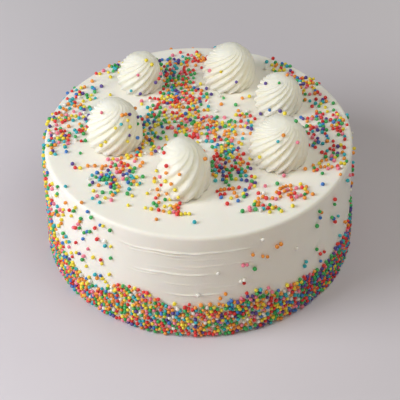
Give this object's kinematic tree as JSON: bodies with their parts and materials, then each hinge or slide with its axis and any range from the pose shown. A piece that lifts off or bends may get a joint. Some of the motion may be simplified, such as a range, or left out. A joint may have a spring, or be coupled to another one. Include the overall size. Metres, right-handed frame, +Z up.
{
  "type": "birthday cake",
  "caption": "Round birthday cake in smooth white whipped frosting, with piped cream swirls on top and small round rainbow sprinkles on the top and around the base.",
  "frame": {"origin": "centre of the cake's flat underside", "axes": "+Z up through the middle of the cake, -Y towards the front, where the sprinkles leave the top edge bare, +X to the right as seen from the front"},
  "size_m": [0.2119, 0.2119, 0.1133],
  "materials": {
    "frosting": "smoothed white whipped frosting, satin",
    "piped_cream": "piped whipped cream, soft satin"
  },
  "bodies": {
    "root": {"cake": "frosting", "swirl_front": "piped_cream", "swirl_left": "piped_cream", "swirl_back_left": "piped_cream", "swirl_back": "piped_cream", "swirl_back_right": "piped_cream", "swirl_right": "piped_cream"}
  },
  "joints": []
}
